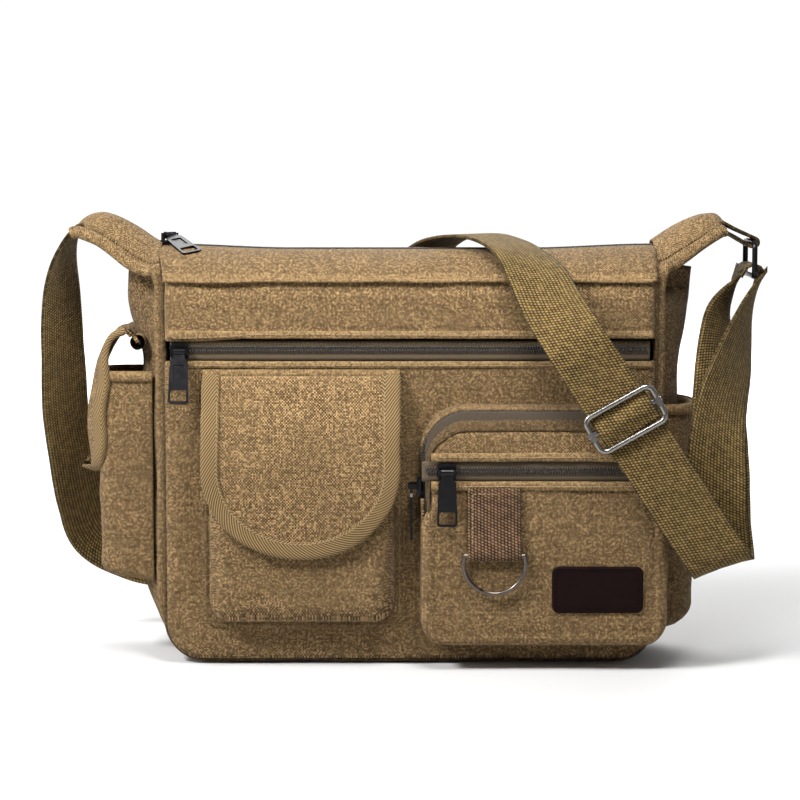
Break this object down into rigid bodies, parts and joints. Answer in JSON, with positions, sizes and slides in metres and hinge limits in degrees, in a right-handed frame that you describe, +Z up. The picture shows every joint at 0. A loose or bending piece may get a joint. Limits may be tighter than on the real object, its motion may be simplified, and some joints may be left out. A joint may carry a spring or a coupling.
{
  "type": "messenger bag",
  "caption": "Canvas messenger bag with zipped top and front, a flapped pocket, a zipped cargo pocket, side pockets and an adjustable webbing shoulder strap.",
  "frame": {"origin": "middle of the flat base, between the inner front and back panels", "axes": "+X to the right seen from the front, -Y out of the front, +Z up"},
  "size_m": [0.4671, 0.1569, 0.2858],
  "materials": {
    "canvas": "washed plain-weave cotton canvas",
    "piping": "canvas edge strip",
    "binding": "herringbone twill tape",
    "webbing": "coarse cotton webbing",
    "tab_webbing": "coarse cotton webbing",
    "lining_cloth": "thin smooth cloth",
    "board": "stiff board",
    "hook_loop": "hook and loop tape",
    "leather": "dark waxed leather",
    "zip_coil": "nylon coil on woven tape",
    "gunmetal": "dark gunmetal plating",
    "nickel": "worn nickel plating",
    "black_steel": "black enamel"
  },
  "bodies": {
    "bag": {"front_panel": "canvas", "back_panel": "canvas", "left_gusset": "canvas", "right_gusset": "canvas", "base_panel": "canvas", "front_pocket_panel": "canvas", "front_upper_band": "canvas", "top_strip_front": "canvas", "top_strip_back": "canvas", "left_ear": "canvas", "right_ear": "canvas", "flap_pocket": "canvas", "cargo_gusset": "canvas", "cargo_front_lower": "canvas", "cargo_front_upper": "canvas", "left_side_pocket": "canvas", "right_side_pocket": "canvas", "front_piping": "piping", "back_piping": "piping", "shoulder_strap": "webbing", "ring_tab": "webbing", "dring_tab": "tab_webbing", "lining": "lining_cloth", "inner_slip_pocket": "lining_cloth", "cargo_divider": "lining_cloth", "base_board": "board", "flap_loop_patch": "hook_loop", "leather_label": "leather", "front_zip_chain": "zip_coil", "cargo_zip_chain": "zip_coil", "arch_zip_chain": "zip_coil", "top_zip_chain": "zip_coil"},
    "top_slider": {"top_zip_slider": "gunmetal"},
    "top_pull": {"top_zip_pull": "gunmetal"},
    "front_slider": {"front_zip_slider": "gunmetal"},
    "front_pull": {"front_zip_pull": "gunmetal"},
    "cargo_slider": {"cargo_zip_slider": "gunmetal"},
    "cargo_pull": {"cargo_zip_pull": "gunmetal"},
    "arch_slider": {"arch_zip_slider": "gunmetal"},
    "arch_pull": {"arch_zip_pull": "gunmetal"},
    "pocket_flap": {"flap": "canvas", "flap_binding": "binding", "flap_hook_patch": "hook_loop"},
    "side_flap": {"left_side_flap": "canvas"},
    "d_ring": {"dring": "gunmetal"},
    "end_ring": {"strap_ring": "black_steel"},
    "adjuster": {"adjuster_frame": "nickel", "adjuster_bar": "nickel", "strap_end_loop": "webbing"}
  },
  "joints": [
    {"name": "top_slider_slide", "type": "slide", "parent": "bag", "child": "top_slider", "axis": [1, 0, 0], "range_m": [0, 0.15]},
    {"name": "top_pull_hinge", "type": "hinge", "parent": "top_slider", "child": "top_pull", "pos_m": [-0.155, 0, 0.2702], "axis": [-0.866, -0.5, 0], "range_deg": [0, 130]},
    {"name": "front_slider_slide", "type": "slide", "parent": "bag", "child": "front_slider", "axis": [1, 0, 0], "range_m": [0, 0.28]},
    {"name": "front_pull_hinge", "type": "hinge", "parent": "front_slider", "child": "front_pull", "pos_m": [-0.1445, -0.0572, 0.1995], "axis": [-1, 0, 0], "range_deg": [0, 130]},
    {"name": "cargo_slider_slide", "type": "slide", "parent": "bag", "child": "cargo_slider", "axis": [1, 0, 0], "range_m": [0, 0.09]},
    {"name": "cargo_pull_hinge", "type": "hinge", "parent": "cargo_slider", "child": "cargo_pull", "pos_m": [0.023, -0.0822, 0.1265], "axis": [-1, 0, 0], "range_deg": [0, 150]},
    {"name": "arch_slider_slide", "type": "slide", "parent": "bag", "child": "arch_slider", "axis": [0, 0, 1], "range_m": [0, 0.018]},
    {"name": "arch_pull_hinge", "type": "hinge", "parent": "arch_slider", "child": "arch_pull", "pos_m": [0.0008, -0.065, 0.116], "axis": [0, 1, 0], "range_deg": [0, 8]},
    {"name": "pocket_flap_hinge", "type": "hinge", "parent": "bag", "child": "pocket_flap", "pos_m": [-0.06825, -0.0556, 0.1835], "axis": [-1, 0, 0], "range_deg": [0, 115]},
    {"name": "side_flap_hinge", "type": "hinge", "parent": "bag", "child": "side_flap", "pos_m": [-0.1755, -0.01, 0.206], "axis": [0, 1, 0], "range_deg": [0, 12]},
    {"name": "d_ring_hinge", "type": "hinge", "parent": "bag", "child": "d_ring", "pos_m": [0.0525, -0.0808, 0.074], "axis": [-1, 0, 0], "range_deg": [0, 140]},
    {"name": "end_ring_hinge", "type": "hinge", "parent": "bag", "child": "end_ring", "pos_m": [0.22, 0, 0.266], "axis": [0, 1, 0], "range_deg": [-8, 8]},
    {"name": "adjuster_slide", "type": "slide", "parent": "bag", "child": "adjuster", "axis": [0.5505, 0, -0.8348], "range_m": [-0.025, 0.03]}
  ]
}
